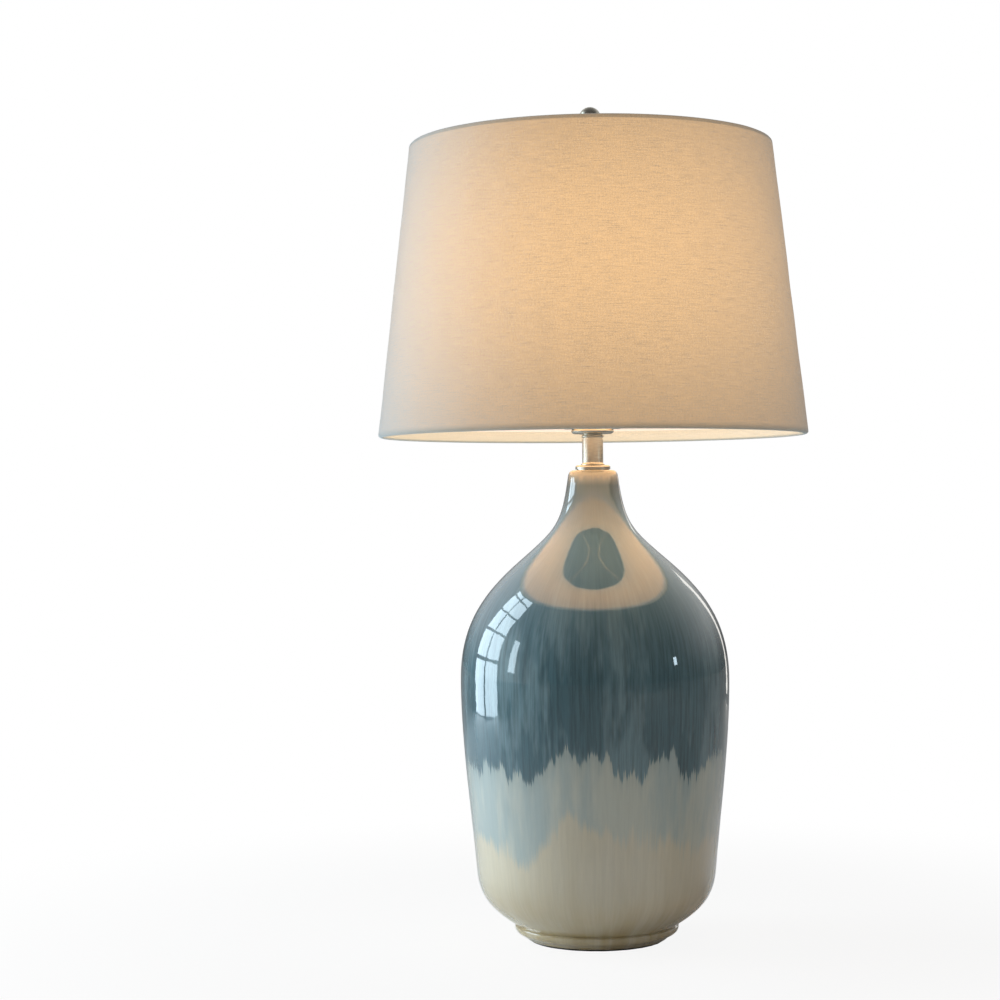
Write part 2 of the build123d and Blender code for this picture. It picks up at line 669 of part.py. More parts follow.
def socket_shell():
    """Metal outer shell with a stiffening bead and a rolled rim."""
    inner = SHELL_RADIUS - SHELL_WALL
    bead_z = SHELL_Z + SHELL_BEAD_PLACE
    bead_top = bead_z + SHELL_BEAD_HEIGHT
    top_z = SHELL_Z + SHELL_HEIGHT
    rim_z = top_z - SHELL_RIM_HEIGHT
    section = face_of(
        SagittaArc((SHELL_RADIUS, bead_z), (SHELL_RADIUS, bead_top), -SHELL_BEAD),
        Line((SHELL_RADIUS, bead_top), (SHELL_RADIUS, rim_z)),
        SagittaArc((SHELL_RADIUS, rim_z), (SHELL_RADIUS, top_z), -SHELL_BEAD),
        Polyline(
            (SHELL_RADIUS, top_z),
            (inner, top_z),
            (inner, SHELL_Z),
            (SHELL_RADIUS, SHELL_Z),
            (SHELL_RADIUS, bead_z),
        ),
    )
    return turned(section) - stem_slot()


def socket_insulator():
    """Fibre sleeve between the shell and the live parts."""
    low = SHELL_Z + INSULATOR_SHORT
    height = SHELL_HEIGHT - 2 * INSULATOR_SHORT
    return ring(INSULATOR_RADIUS - INSULATOR_WALL, INSULATOR_RADIUS, low, height) - stem_slot()


def terminal_place(side):
    """Place of a terminal screw on a flat of the socket body, pointing outwards."""
    return Pos(side * INTERIOR_FLAT, 0, INTERIOR_Z + TERMINAL_PLACE) * Rot(0, 90 * side, 0)


def socket_interior():
    """Moulded socket body with flats for the terminal screws and a bore for the stem."""
    body = ring(0, INTERIOR_RADIUS, INTERIOR_Z, INTERIOR_HEIGHT)
    flat = Box(CUT, 2 * INTERIOR_RADIUS, 2 * TERMINAL_PLACE)
    hole = Cylinder(TERMINAL_SHANK + TURN_FIT, TERMINAL_LENGTH + END_ROOM, align=HANGING)
    for side in (-1, 1):
        body -= Pos(side * (INTERIOR_FLAT + CUT / 2), 0, INTERIOR_Z + TERMINAL_PLACE) * flat
        body -= terminal_place(side) * hole
    bore = Cylinder(STEM_RADIUS + TURN_FIT, INTERIOR_RADIUS, align=STANDING)
    return body - switch_place(STEM_IN_BODY) * bore


def terminal_screws():
    """Two slotted terminal screws, one on each flat."""
    screw = Cylinder(TERMINAL_SHANK, TERMINAL_LENGTH, align=HANGING)
    screw += Cylinder(TERMINAL_SCREW_RADIUS, TERMINAL_SCREW_HEAD, align=STANDING)
    slot = Box(2 * TERMINAL_SCREW_RADIUS, SCREW_SLOT_WIDTH, 2 * SCREW_SLOT_DEPTH)
    screw -= Pos(0, 0, TERMINAL_SCREW_HEAD) * slot
    return Compound([terminal_place(side) * screw for side in (-1, 1)])


def socket_screw_shell():
    """Brass shell that takes the bulb, with a flange riveted on the socket body."""
    flange = CONTACT_RADIUS + SCREW_SHELL_GAP
    z = SCREW_SHELL_Z
    return turned(
        outline(
            (flange, z),
            (SCREW_SHELL_RADIUS, z),
            (SCREW_SHELL_RADIUS, z + SCREW_SHELL_HEIGHT),
            (SCREW_SHELL_INNER, z + SCREW_SHELL_HEIGHT),
            (SCREW_SHELL_INNER, z + SCREW_SHELL_WALL),
            (flange, z + SCREW_SHELL_WALL),
        )
    )


def socket_contact():
    """Brass centre contact."""
    z = SCREW_SHELL_Z
    top_z = z + CONTACT_HEIGHT - TURN_FIT
    return turned(
        outline(
            (0, z),
            (CONTACT_RADIUS, z),
            (CONTACT_RADIUS, top_z - EDGE),
            (CONTACT_RADIUS - EDGE, top_z),
            (0, top_z),
        )
    )


def switch_place(distance):
    """Place on the switch axis at a distance in front of the lamp axis, pointing forwards."""
    return Pos(0, -distance, STEM_Z) * Rot(90, 0, 0)


def switch_stem():
    """Steel stem of the turn switch."""
    near = STEM_IN_BODY + STEM_END_ROOM
    length = SHELL_RADIUS + KNOB_GAP + STEM_IN_KNOB - near
    return switch_place(near) * Cylinder(STEM_RADIUS, length, align=STANDING)


def switch_knob():
    """Fluted plastic knob on the stem."""
    knob = Cylinder(KNOB_RADIUS, KNOB_LENGTH, align=STANDING)
    knob = chamfer(knob.edges().filter_by(GeomType.CIRCLE), KNOB_BEVEL)
    flute = Cylinder(KNOB_FLUTE_RADIUS, KNOB_LENGTH, align=STANDING)
    flute = Pos(KNOB_RADIUS + KNOB_FLUTE_RADIUS - KNOB_FLUTE_DEPTH, 0, KNOB_COLLAR) * flute
    for place in range(KNOB_FLUTES):
        knob -= Rot(0, 0, 360 / KNOB_FLUTES * place) * flute
    hole = Cylinder(STEM_RADIUS + TIGHT_FIT, STEM_IN_KNOB + END_ROOM, align=STANDING)
    return switch_place(SHELL_RADIUS + KNOB_GAP) * (knob - hole)


def bulb_pieces():
    """Screw bulb: tip, glass insulator, screw base, housing and light dome."""
    glass_z = BULB_Z + BULB_TIP_HEIGHT
    base_z = glass_z + BULB_GLASS_HEIGHT
    inner = BULB_BASE_RADIUS - BULB_BASE_WALL
    tip = turned(
        face_of(
            Polyline((0, BULB_Z), (0, glass_z), (BULB_TIP_RADIUS, glass_z)),
            eased((BULB_TIP_RADIUS, glass_z), DOWNWARD, (0, BULB_Z), INWARD),
        )
    )
    cone_in = inner - BULB_BASE_CONE
    cone_z = base_z + BULB_BASE_CONE_HEIGHT
    lip = cone_in - BULB_BASE_LIP
    lip_z = base_z + BULB_BASE_WALL
    glass = turned(
        outline(
            (0, glass_z), (BULB_TIP_RADIUS + BULB_GLASS_STEP, glass_z), (cone_in, base_z), (0, base_z)
        )
    )
    base = turned(
        outline(
            (lip, base_z),
            (cone_in, base_z),
            (BULB_BASE_RADIUS, cone_z),
            (BULB_BASE_RADIUS, HOUSING_Z),
            (inner, HOUSING_Z),
            (inner, cone_z + BULB_BASE_WALL),
            (cone_in - BULB_BASE_WALL, lip_z),
            (lip, lip_z),
        )
    )
    skirt = BULB_BASE_RADIUS + BULB_SKIRT
    skirt_z = HOUSING_Z + BULB_SKIRT_HEIGHT
    seat = inner - BULB_HOUSING_SEAT
    floor_z = HOUSING_Z + BULB_HOUSING_FLOOR
    shoulder = (BULB_SHOULDER, DOME_Z)
    shoulder_in = (BULB_SHOULDER - BULB_WALL, DOME_Z)
    housing = turned(
        face_of(
            eased((skirt, skirt_z), heading(BULB_SKIRT_LEAN), shoulder, heading(BULB_HOUSING_LEAN)),
            Line(shoulder, shoulder_in),
            eased(
                shoulder_in, heading(180 + BULB_HOUSING_LEAN),
                (seat, floor_z), heading(180 + BULB_SKIRT_LEAN),
            ),
            Polyline((seat, floor_z), (seat, HOUSING_Z), (skirt, HOUSING_Z), (skirt, skirt_z)),
        )
    )
    wide_z = DOME_Z + BULB_DOME_HEIGHT - BULB_RADIUS
    crown = BULB_RADIUS - BULB_WALL
    dome = turned(
        face_of(
            Line(shoulder_in, shoulder),
            eased(shoulder, heading(BULB_DOME_LEAN), (BULB_RADIUS, wide_z), UPRIGHT),
            RadiusArc((BULB_RADIUS, wide_z), (0, wide_z + BULB_RADIUS), -BULB_RADIUS),
            Line((0, wide_z + BULB_RADIUS), (0, wide_z + crown)),
            RadiusArc((0, wide_z + crown), (crown, wide_z), crown),
            eased((crown, wide_z), DOWNWARD, shoulder_in, heading(180 + BULB_DOME_LEAN)),
        )
    )
    return {
        "bulb_tip_contact": tip,
        "bulb_tip_insulator": glass,
        "bulb_screw_base": base,
        "bulb_housing": housing,
        "bulb_dome": dome,
    }


def on_shade(along, inward):
    """Point of the shade section: along the slant from the bottom edge, inward from the face."""
    up = ((SHADE_TOP_RADIUS - SHADE_BOTTOM_RADIUS) / SLANT, SHADE_HEIGHT / SLANT)
    return (
        SHADE_BOTTOM_RADIUS + along * up[0] - inward * up[1],
        SHADE_Z + along * up[1] + inward * up[0],
    )


def shade_strip(low, high, near, far):
    """Straight strip of the shade section."""
    return outline(
        on_shade(low, near), on_shade(high, near), on_shade(high, far), on_shade(low, far)
    )


def hem_edges(end, sign):
    """Edges of one rolled hem: from the outer face, round the wire, and down to the liner slot."""

    def at(along, inward):
        return on_shade(end + sign * along, inward)

    corner = HEM_ROLL * (1 - sqrt(0.5))
    tail = HEM_UP + HEM_TAIL
    return [
        ThreePointArc(at(HEM_ROLL, 0), at(corner, corner), at(0, HEM_ROLL)),
        Line(at(0, HEM_ROLL), at(0, HEM_IN - HEM_ROLL)),
        ThreePointArc(
            at(0, HEM_IN - HEM_ROLL), at(corner, HEM_IN - corner), at(HEM_ROLL, HEM_IN)
        ),
        Polyline(
            at(HEM_ROLL, HEM_IN),
            at(HEM_UP, HEM_IN),
            at(HEM_UP, PLY_BACK + LINEN),
            at(tail, PLY_BACK + LINEN),
            at(tail, PLY_BACK),
            at(LINEN, PLY_BACK),
            at(LINEN, LINEN),
        ),
    ]


def wire_place(end, sign):
    """Middle of the ring wire in a hem."""
    return on_shade(end + sign * HEM_ROLL, PLY_BACK + RING_WIRE)


def shade_pieces():
    """Linen cover rolled over two wire rings, the liner, the rings and the spider.

    The arms are welded to the top ring, so the rolled hem is notched where they pass.
    """
    ends = ((0, 1), (SLANT, -1))
    cover = face_of(
        *hem_edges(*ends[0]),
        *hem_edges(*ends[1]),
        Line(on_shade(HEM_ROLL, 0), on_shade(SLANT - HEM_ROLL, 0)),
        Line(on_shade(LINEN, LINEN), on_shade(SLANT - LINEN, LINEN)),
    )
    rings = []
    for end in ends:
        radius, z = wire_place(*end)
        cover -= Pos(radius, z) * Circle(RING_WIRE + PLY_FIT)
        rings.append(Pos(0, 0, z) * Torus(radius, RING_WIRE))
    edge = LINEN + PLY_FIT
    liner = shade_strip(edge, SLANT - edge, edge, edge + LINER)
    washer = ring(WASHER_HOLE, WASHER_RADIUS, WASHER_Z, WASHER_THICKNESS)
    arm_z = WASHER_Z + WASHER_THICKNESS / 2
    path = FilletPolyline(
        (WASHER_RADIUS - SPIDER_LAP, 0, arm_z),
        (radius - SPIDER_RISE, 0, arm_z),
        (radius, 0, z),
        radius=SPIDER_BEND,
    )
    start = Plane(path @ 0, z_dir=path % 0)
    arm = sweep(start * Circle(SPIDER_WIRE), path) - washer - rings[1]
    gap = SPIDER_WIRE + PLY_FIT
    low = SLANT - HEM_UP - HEM_TAIL - CUT
    side = shade_strip(low, SLANT - HEM_ROLL + gap, PLY_BACK - PLY_FIT, HEM_IN + CUT)
    notch = extrude(Rot(90, 0, 0) * side, gap, both=True)
    turns = [Rot(0, 0, 90 + 360 / SPIDER_ARMS * place) for place in range(SPIDER_ARMS)]
    linen = turned(cover)
    for turn in turns:
        linen -= turn * notch
    return {
        "shade_linen_cover": linen,
        "shade_liner": turned(liner),
        "shade_bottom_ring": rings[0],
        "shade_top_ring": rings[1],
        "spider_arms": Compound([turn * arm for turn in turns]),
        "spider_washer": washer,
    }


def finial():
    """Turned ball finial with a blind threaded bore."""
    base_z = FINIAL_Z + FINIAL_BASE_HEIGHT
    ball_z = FINIAL_Z + FINIAL_HEIGHT - FINIAL_BALL
    ball_low = ball_z - sqrt(FINIAL_BALL**2 - FINIAL_NECK**2)
    neck_z = ball_low - FINIAL_NECK_HEIGHT
    bead_top = neck_z - FINIAL_NECK_FLARE
    bead_z = bead_top - FINIAL_BEAD_HEIGHT
    top = (0, FINIAL_Z + FINIAL_HEIGHT)
    bore = STUD_THREAD_RADIUS + TURN_FIT
    bore_z = FINIAL_Z + FINIAL_BORE_DEPTH
    base = (FINIAL_BASE_RADIUS, FINIAL_Z)
    ledge = (FINIAL_BASE_RADIUS - EDGE, base_z)
    waist = (FINIAL_WAIST, bead_z)
    return turned(
        face_of(
            SagittaArc(base, ledge, -FINIAL_BASE_BULGE),
            Bezier(ledge, (FINIAL_WAIST, base_z + FINIAL_WAIST_RISE), waist),
            SagittaArc(waist, (FINIAL_WAIST, bead_top), FINIAL_WAIST - FINIAL_BEAD),
            Polyline((FINIAL_WAIST, bead_top), (FINIAL_NECK, neck_z), (FINIAL_NECK, ball_low)),
            ThreePointArc((FINIAL_NECK, ball_low), (FINIAL_BALL, ball_z), top),
            Polyline(top, (0, bore_z), (bore, bore_z - EDGE), (bore, FINIAL_Z), base),
        )
    )


def build():
    """Every piece of the lamp, by node name."""
    return {
        "ceramic_body": ceramic_body(),
        "felt_base_pad": felt_pad(),
        **bottom_pieces(),
        "vase_cap": vase_cap(),
        "neck_tube": neck_tube(),
        "neck_collar": neck_collar(),
        "neck_disc": neck_disc(),
        "harp_saddle": harp_saddle(),
        "saddle_lock_nut": hex_nut(HEX_FLATS, PIPE_HOLE, SADDLE_NUT_Z, SADDLE_NUT_HEIGHT),
        "harp_bow": harp_bow(),
        "harp_sleeve_left": harp_sleeve(-1),
        "harp_sleeve_right": harp_sleeve(1),
        "harp_stud": harp_stud(),
        "socket_cap": socket_cap(),
        "socket_set_screw": socket_set_screw(),
        "socket_shell": socket_shell(),
        "socket_insulator": socket_insulator(),
        "socket_interior": socket_interior(),
        "terminal_screws": terminal_screws(),
        "socket_screw_shell": socket_screw_shell(),
        "socket_contact": socket_contact(),
        "switch_stem": switch_stem(),
        "switch_knob": switch_knob(),
        **bulb_pieces(),
        **shade_pieces(),
        "finial": finial(),
    }


os.makedirs("parts", exist_ok=True)
for node, shape in build().items():
    export_step(shape, f"parts/{node}.step")
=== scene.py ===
# %% [markdown]
# # A lit table lamp with a glazed body and a linen shade
# The lamp is already built as solid pieces in a packed model, which this script loads as a fixed
# frame.  Here it gets its soft pieces, its finishes, its light and a camera.  Every length is in
# metres, +Z is up, the lamp stands on z = 0 and its front faces -Y.

# %% Load the frame
from math import cos, hypot, pi, radians, sin, tau

import bpy
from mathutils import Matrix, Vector, noise


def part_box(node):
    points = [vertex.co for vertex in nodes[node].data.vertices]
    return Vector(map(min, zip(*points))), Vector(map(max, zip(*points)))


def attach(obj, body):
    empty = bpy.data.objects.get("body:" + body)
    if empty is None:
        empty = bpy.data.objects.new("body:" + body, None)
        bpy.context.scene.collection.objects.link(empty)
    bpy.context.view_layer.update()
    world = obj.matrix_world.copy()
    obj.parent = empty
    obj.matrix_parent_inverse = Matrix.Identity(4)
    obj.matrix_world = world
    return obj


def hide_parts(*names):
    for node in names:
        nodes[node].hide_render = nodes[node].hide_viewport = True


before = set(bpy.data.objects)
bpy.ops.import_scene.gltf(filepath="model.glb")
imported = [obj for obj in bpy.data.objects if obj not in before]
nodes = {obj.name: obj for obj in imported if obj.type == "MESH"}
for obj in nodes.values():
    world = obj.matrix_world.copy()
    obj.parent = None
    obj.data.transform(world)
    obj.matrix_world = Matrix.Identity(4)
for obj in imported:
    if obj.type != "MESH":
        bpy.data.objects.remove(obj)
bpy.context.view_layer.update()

# %% [markdown]
# ## Measures read from the frame
# A piece that is made here has to sit exactly on the solids, so its sizes are read from their boxes
# instead of being typed again.  A box gives the lowest and the highest corner of a piece.

# %% Measures of the shade, the bulb and the body
RING_TO_FACE = 0.0013       # from the wire of the top ring out to the face of the linen

cover_low, cover_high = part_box("shade_linen_cover")
ring_low, ring_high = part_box("shade_top_ring")
bulb_low, bulb_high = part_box("bulb_dome")
_, body_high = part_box("ceramic_body")

SHADE_BOTTOM_RADIUS = cover_high.x
SHADE_TOP_RADIUS = ring_high.x + RING_TO_FACE
SHADE_LOW, SHADE_HIGH = cover_low.z, cover_high.z
BULB_HEIGHT = (bulb_low.z + bulb_high.z) / 2
BODY_RADIUS, BODY_HEIGHT = body_high.x, body_high.z
print(f"shade {2 * SHADE_BOTTOM_RADIUS:.3f} m wide at the bottom, {2 * SHADE_TOP_RADIUS:.3f} m at the top,",
      f"from {SHADE_LOW:.3f} to {SHADE_HIGH:.3f} m")

# %% [markdown]
# ## The camera
# The photograph was taken level, a little above the middle of the lamp's height and from about two
# metres away, with the lamp right of the middle.  A level camera with a small vertical shift keeps
# upright edges upright, which tilting it down would not.  It is rolled by half a degree, as the
# photograph is.

# %% Place the camera
CAMERA_DISTANCE = 2.062
CAMERA_HEIGHT = 0.4076
CAMERA_SIDE = -0.0885
FOCAL_PIXELS = 2172
PICTURE_PIXELS = 1000
HORIZON_PIXELS = 9.3        # horizon below the middle of the picture
CAMERA_ROLL = radians(0.5)
SENSOR = 36.0

camera_data = bpy.data.cameras.new("photo camera")
camera_data.sensor_width = SENSOR
camera_data.lens = SENSOR * FOCAL_PIXELS / PICTURE_PIXELS
camera_data.shift_y = HORIZON_PIXELS / PICTURE_PIXELS
camera = bpy.data.objects.new("photo camera", camera_data)
bpy.context.scene.collection.objects.link(camera)
camera.location = (CAMERA_SIDE, -CAMERA_DISTANCE, CAMERA_HEIGHT)
camera.rotation_euler = (radians(90), CAMERA_ROLL, 0)
bpy.context.scene.camera = camera
bpy.context.scene.view_settings.view_transform = "Standard"
print(f"lens {camera_data.lens:.1f} mm, {CAMERA_DISTANCE} m away")

# %% [markdown]
# ## Writing shaders as sums
# A finish is a graph of nodes.  Placing them one by one hides what they work out, so a small class
# stands for one socket's value and turns ordinary arithmetic into Math nodes.  Everything else comes
# from one method that takes a node's type, its settings and what goes into its sockets.

# %% A value in a shader
class Value:
    """One value in a node graph: sums and products of it add Math nodes."""

    def __init__(self, graph, socket):
        self.graph = graph
        self.socket = socket

    def calc(self, operation, *others):
        return self.graph.calc(operation, self, *others)

    def __add__(self, other):
        return self.calc("ADD", other)

    def __mul__(self, other):
        return self.calc("MULTIPLY", other)

    def __sub__(self, other):
        return self.calc("SUBTRACT", other)

    def __rsub__(self, other):
        return self.graph.calc("SUBTRACT", other, self)

    def __abs__(self):
        return self.calc("ABSOLUTE")

    __radd__ = __add__
    __rmul__ = __mul__

    def sine(self):
        return self.calc("SINE")

    def root(self):
        return self.calc("SQRT")

    def most(self, other):
        return self.calc("MAXIMUM", other)

    def bell(self, middle, spread):
        """1 at the middle, and less on both sides of it."""
        off = (self - middle) * (1 / spread)
        return (off * off * -1).calc("EXPONENT")

    def ramp(self, low, high):
        """0 below low, 1 above high, and smooth between them."""
        inputs = {"Value": self, "From Min": low, "From Max": high}
        return self.graph.node("MapRange", {"interpolation_type": "SMOOTHSTEP"}, inputs)


print("a value can", ", ".join(name for name in vars(Value) if not name.startswith("_")))

# %% A graph of nodes
class Graph:
    """Nodes of a material or of the world."""

    def __init__(self, tree):
        self.tree = tree

    def node(self, kind, settings=None, inputs=None, output=0):
        made = self.tree.nodes.new("ShaderNode" + kind)
        for name, value in (settings or {}).items():
            setattr(made, name, value)
        for name, value in (inputs or {}).items():
            self.feed(made.inputs[name], value)
        return Value(self, made.outputs[output])

    def feed(self, socket, value):
        if isinstance(value, Value):
            self.tree.links.new(value.socket, socket)
        else:
            socket.default_value = value

    def calc(self, operation, *values):
        return self.node("Math", {"operation": operation}, dict(enumerate(values)))

    def parts(self, vector):
        """The three values of a vector."""
        split = self.node("SeparateXYZ", inputs={0: vector}).socket.node
        return [Value(self, socket) for socket in split.outputs]

    def stretch(self, vector, x, y, z):
        return self.node("VectorMath", {"operation": "MULTIPLY"}, {0: vector, 1: (x, y, z)})

    def grain(self, vector, scale, detail=2.0, roughness=0.5):
        """Noise from 0 to 1, at about scale spots per metre."""
        inputs = {"Vector": vector, "Scale": scale, "Detail": detail, "Roughness": roughness}
        return self.node("TexNoise", inputs=inputs)

    def blend(self, share, first, second, how="MIX"):
        """Colour between first and second."""
        settings = {"data_type": "RGBA", "blend_type": how}
        return self.node("Mix", settings, {0: share, 6: first, 7: second}, output=2)


print("a graph can", ", ".join(name for name in vars(Graph) if not name.startswith("_")))

# %% A finish, and a colour
class Finish(Graph):
    """A material whose nodes end in its Principled shader."""

    def __init__(self, name, **sockets):
        self.material = bpy.data.materials.new(name)
        self.material.use_nodes = True
        super().__init__(self.material.node_tree)
        self.shader = self.tree.nodes["Principled BSDF"]
        self.place = self.node("TexCoord", output="Object")
        self.set(**sockets)

    def set(self, **sockets):
        """Set or link sockets of the Principled shader: base_color means its Base Color."""
        for name, value in sockets.items():
            words = name.replace("_", " ").title().replace("Ior", "IOR")
            self.feed(self.shader.inputs[words], value)

    def raised(self, height, depth, strength):
        """Surface relief of a given depth in metres."""
        inputs = {"Height": height, "Distance": depth, "Strength": strength}
        self.set(normal=self.node("Bump", inputs=inputs))

    def on(self, *names):
        """Give this finish to solid pieces."""
        for name in names:
            mesh = nodes[name].data
            mesh.materials.clear()
            mesh.materials.append(self.material)
        print(self.material.name, "on", ", ".join(names))


def srgb(red, green, blue):
    """Colour from 0 to 255 as a picture shows it, turned into the light values that a shader takes."""
    def light(value):
        value /= 255
        return value / 12.92 if value <= 0.04045 else ((value + 0.055) / 1.055) ** 2.4
    return (light(red), light(green), light(blue), 1.0)


BLACK, WHITE = srgb(0, 0, 0), srgb(255, 255, 255)
print(f"a grey of 128 out of 255 sends back {srgb(128, 128, 128)[0]:.2f} of the light")

# %% [markdown]
# ## The drip glaze
# The body was dipped in a pale base glaze and a dark slate-blue one was poured over the top, where it
# ran down in the kiln and stopped in a ragged line of drips.  The line could be painted, but then it
# would stop at the edge of the picture.  Here noise that depends only on the direction round the body
# sets how far down each streak runs, so the glaze is ragged all the way round.  Taking the absolute
# value of a noise gives round tongues that meet in sharp notches, as drips do.  Noise keeps close to
# 0.5, so the two ends of a ramp on it lie close to 0.5 too.

# %% Noise round the body
POUR = 0.13                 # no two pours run alike: another number gives another drip line

glaze = Finish(
    "drip glaze", roughness=0.05, ior=1.55, specular_ior_level=0.8, coat_weight=1.0, coat_roughness=0.02,
)
_, _, z = glaze.parts(glaze.place)
outward = glaze.node("VectorMath", {"operation": "NORMALIZE"}, {0: glaze.stretch(glaze.place, 1, 1, 0)})
girth = glaze.stretch(outward, BODY_RADIUS, BODY_RADIUS, 0)
around = glaze.node("VectorMath", {"operation": "ADD"}, {0: girth, 1: (0, 0, POUR)})
around_x, around_y, _ = glaze.parts(around)


def flowing(slowness):
    """Place round the body, with the height shortened so that noise on it runs downhill."""
    return glaze.node("CombineXYZ", inputs={0: around_x, 1: around_y, 2: z * slowness})


steps = glaze.grain(around, 17, roughness=0.6) - 0.5
tongues = abs(glaze.grain(around, 52, detail=1.0) - 0.5)
fringe = glaze.grain(around, 420, detail=3.0, roughness=0.7) - 0.5
streaks = glaze.grain(flowing(0.05), 330, detail=5.0, roughness=0.7)
wash = glaze.grain(flowing(0.22), 24, detail=4.0, roughness=0.62)
cloud = glaze.grain(flowing(0.6), 15, detail=3.0) - 0.5
print("noise on a ring of", round(BODY_RADIUS, 4), "m radius")

# %% Where the glazes end
DRIP_LINE = 0.174           # mean height of the drip line
STEP_REACH = 0.088          # how far each kind of noise moves that line
TONGUE_REACH = 0.064
FRINGE_REACH = 0.039
TONGUE_MEAN = 0.1           # mean of the tongues, which is taken off again
DRIP_SHARP = 0.002          # the line itself is sharp
HAZE_BELOW, HAZE_ABOVE = 0.018, 0.010   # with a little slate washed out across it
HAZE_SHARE = 0.25
RUNOFF_LINE = 0.112         # where the pale run-off ends in the cream base
RUNOFF_BELOW, RUNOFF_ABOVE = 0.008, 0.009
RUNOFF_CLOUDS, RUNOFF_STEPS, RUNOFF_FRINGE = 0.11, 0.05, 0.035

reach = steps * STEP_REACH + tongues * TONGUE_REACH + fringe * FRINGE_REACH
above = z + reach - (DRIP_LINE + TONGUE_REACH * TONGUE_MEAN)
haze = above.ramp(-HAZE_BELOW, HAZE_ABOVE)
slate = above.ramp(-DRIP_SHARP, DRIP_SHARP) * (1 - HAZE_SHARE) + haze * HAZE_SHARE
ragged = cloud * RUNOFF_CLOUDS + steps * RUNOFF_STEPS + fringe * RUNOFF_FRINGE
runoff = (z + ragged - RUNOFF_LINE).ramp(-RUNOFF_BELOW, RUNOFF_ABOVE)
print("glaze lines at", DRIP_LINE, "and", RUNOFF_LINE, "m")

# %% [markdown]
# ## Colours of the glaze
# The base is cream, and browner near the foot.  The run-off below the drips is a pale blue.  The slate
# is darkest where it pooled above the drip line.  It is paler on the shoulder, partly the glaze's own tone
# and partly painted light on the top of the body, and on the neck it turns a darker grey, partly the
# glaze's own and partly painted shade.  Towards the top of the lip the colour is half cream.  These colours
# could be painted as a picture and wrapped round the body, but a blend by height and by noise has no seam
# and stays sharp close up.

# %% Cream base and pale run-off
CREAM_FULL = 0.085          # height at which the cream has its full colour
CREAM_FOOT, CREAM_WALL, CREAM_WASH = srgb(186, 168, 127), srgb(220, 211, 185), srgb(230, 225, 208)
RUNOFF_BLUE, RUNOFF_GREY = srgb(172, 191, 191), srgb(204, 210, 198)
WASH_SHARE, RUNOFF_SHARE = 0.4, 0.9

cream = glaze.blend(z.ramp(0.0, CREAM_FULL), CREAM_FOOT, CREAM_WALL)
cream = glaze.blend(wash.ramp(0.4, 0.7) * WASH_SHARE, cream, CREAM_WASH)
pale_blue = glaze.blend(wash.ramp(0.38, 0.62), RUNOFF_BLUE, RUNOFF_GREY)
base = glaze.blend(runoff * RUNOFF_SHARE, cream, pale_blue)
print("cream up to", RUNOFF_LINE, "m and pale blue up to", DRIP_LINE, "m")

# %% Slate, neck and lip
POOL_LOW, POOL_HIGH = 0.02, 0.11            # above the drip line, where the pooled slate gets thinner
SHOULDER_LOW, SHOULDER_HIGH = 0.25, 0.385
NECK_LOW, NECK_HIGH = 0.375, 0.435
LIP_LOW, LIP_HIGH = BODY_HEIGHT - 0.016, BODY_HEIGHT - 0.004
CLOUD_SHARE, POOL_SHARE, NECK_SHARE, LIP_SHARE = 0.7, 0.3, 0.75, 0.5
SLATE_DEEP, SLATE_CLOUD, SLATE_PALE_AND_LIT = srgb(72, 110, 121), srgb(130, 162, 171), srgb(112, 146, 164)
NECK_GREY_AND_SHADE, LIP_CREAM = srgb(106, 110, 103), srgb(214, 202, 176)

clouded = wash.ramp(0.47, 0.58) * CLOUD_SHARE + above.ramp(POOL_LOW, POOL_HIGH) * POOL_SHARE
poured = glaze.blend(clouded, SLATE_DEEP, SLATE_CLOUD)
# painted light: the shoulder blends to a paler slate, partly the glaze's own and partly light on the top of
# the body
poured = glaze.blend(z.ramp(SHOULDER_LOW, SHOULDER_HIGH), poured, SLATE_PALE_AND_LIT)
# painted shade: the neck blends to a darker grey, partly the glaze's own and partly shade that keeps it dim
# under the glowing shade
poured = glaze.blend(z.ramp(NECK_LOW, NECK_HIGH) * NECK_SHARE, poured, NECK_GREY_AND_SHADE)
glazed = glaze.blend(slate, base, poured)
glazed = glaze.blend(z.ramp(LIP_LOW, LIP_HIGH) * LIP_SHARE, glazed, LIP_CREAM)
print("slate from", DRIP_LINE, "m to the lip at", round(BODY_HEIGHT, 4), "m")

# %% Streaks, and relief of the poured glaze
STREAK_SHADE = srgb(176, 178, 176)
STREAK_LOW, STREAK_HIGH = 0.26, 0.36        # heights between which the streaks fade out
STREAK_SHARE, STREAK_LEAST = 0.5, 0.09
GLAZE_DEPTH = 0.0004

shadow = glaze.blend(streaks.ramp(0.36, 0.62), STREAK_SHADE, WHITE)
streaky = slate * STREAK_SHARE * (1 - z.ramp(STREAK_LOW, STREAK_HIGH)) + STREAK_LEAST
glaze.set(base_color=glaze.blend(streaky, glazed, shadow, "MULTIPLY"))
glaze.raised(slate * 0.6 + streaks * 0.05, GLAZE_DEPTH, strength=0.25)
glaze.on("ceramic_body")

# %% [markdown]
# ## Brushed metal
# The neck, the socket and the finial are plated and brushed on a lathe, so fine lines run round them,
# and the harp is finished to match.  The lines could be cut into the mesh, but they are finer than a
# hair.  Noise that is squeezed along the axis gives rings of slightly different roughness, which is what
# makes brushed metal streak the light.

# %% Nickel, zinc and brass
LATHE_LINES = 5200          # per metre along the axis
LINE_DEPTH = 0.00002
SQUEEZE = 0.02              # how little the noise changes round the axis
SMUDGES = 60                # per metre
GROOVE_SHADE = 0.72         # colour of a groove, as a share of the metal's
LINE_ROUGH, SMUDGE_ROUGH = 0.14, 0.08


